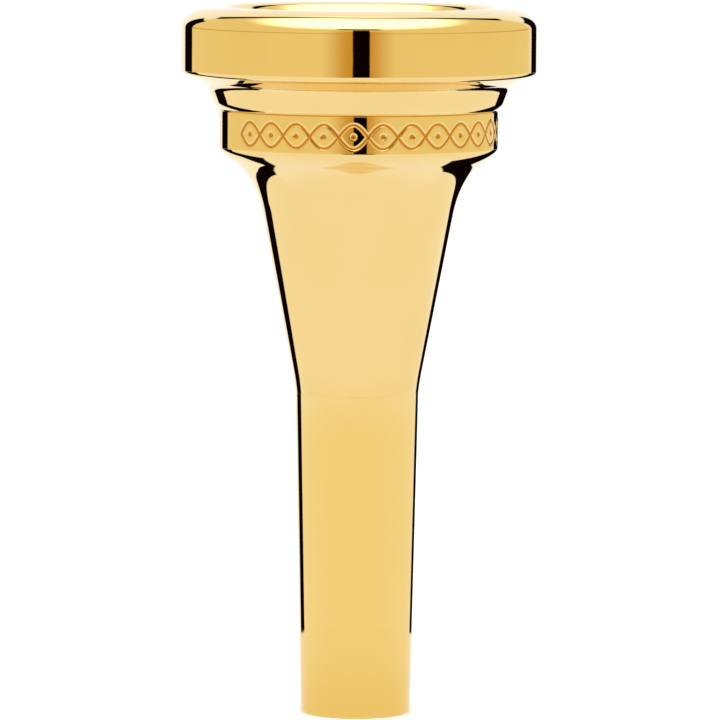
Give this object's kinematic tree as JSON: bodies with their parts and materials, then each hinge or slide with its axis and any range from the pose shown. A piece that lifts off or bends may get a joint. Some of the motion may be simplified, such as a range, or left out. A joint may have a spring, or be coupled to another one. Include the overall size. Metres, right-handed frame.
{
  "type": "brass instrument mouthpiece",
  "caption": "Gold-plated brass mouthpiece that screws apart: a cushion rim, a funnel cup with an ornamental band, and a tapered shank, for a low brass instrument.",
  "frame": {"origin": "centre of the open end of the shank, which the mouthpiece stands on", "axes": "+Z along the bore, from the shank's end up to the rim; the piece is turned about Z, and +X and +Y are two directions across it"},
  "size_m": [0.038, 0.038, 0.0757],
  "materials": {
    "gold_plate": "gold plate on turned brass, polished to a mirror",
    "seal_rubber": "black nitrile rubber, slightly greasy"
  },
  "bodies": {
    "shank": {"shank": "gold_plate"},
    "cup_seal": {"cup_seal": "seal_rubber"},
    "cup": {"cup": "gold_plate"},
    "rim_seal": {"rim_seal": "seal_rubber"},
    "rim": {"rim": "gold_plate"}
  },
  "joints": [
    {"name": "cup_lift", "type": "slide", "parent": "shank", "child": "cup_seal", "axis": [0, 0, 1], "range_m": [0, 0.003]},
    {"name": "cup_turn", "type": "hinge", "parent": "cup_seal", "child": "cup", "pos_m": [0, 0, 0.0345], "axis": [0, 0, 1], "range_deg": [0, 1080]},
    {"name": "rim_lift", "type": "slide", "parent": "cup", "child": "rim_seal", "axis": [0, 0, 1], "range_m": [0, 0.002]},
    {"name": "rim_turn", "type": "hinge", "parent": "rim_seal", "child": "rim", "pos_m": [0, 0, 0.0647], "axis": [0, 0, 1], "range_deg": [0, 720]}
  ],
  "couplings": [
    {"joint": "cup_turn", "follows": "cup_lift", "rad_per_m": 6283.1},
    {"joint": "rim_turn", "follows": "rim_lift", "rad_per_m": 6283.1}
  ]
}
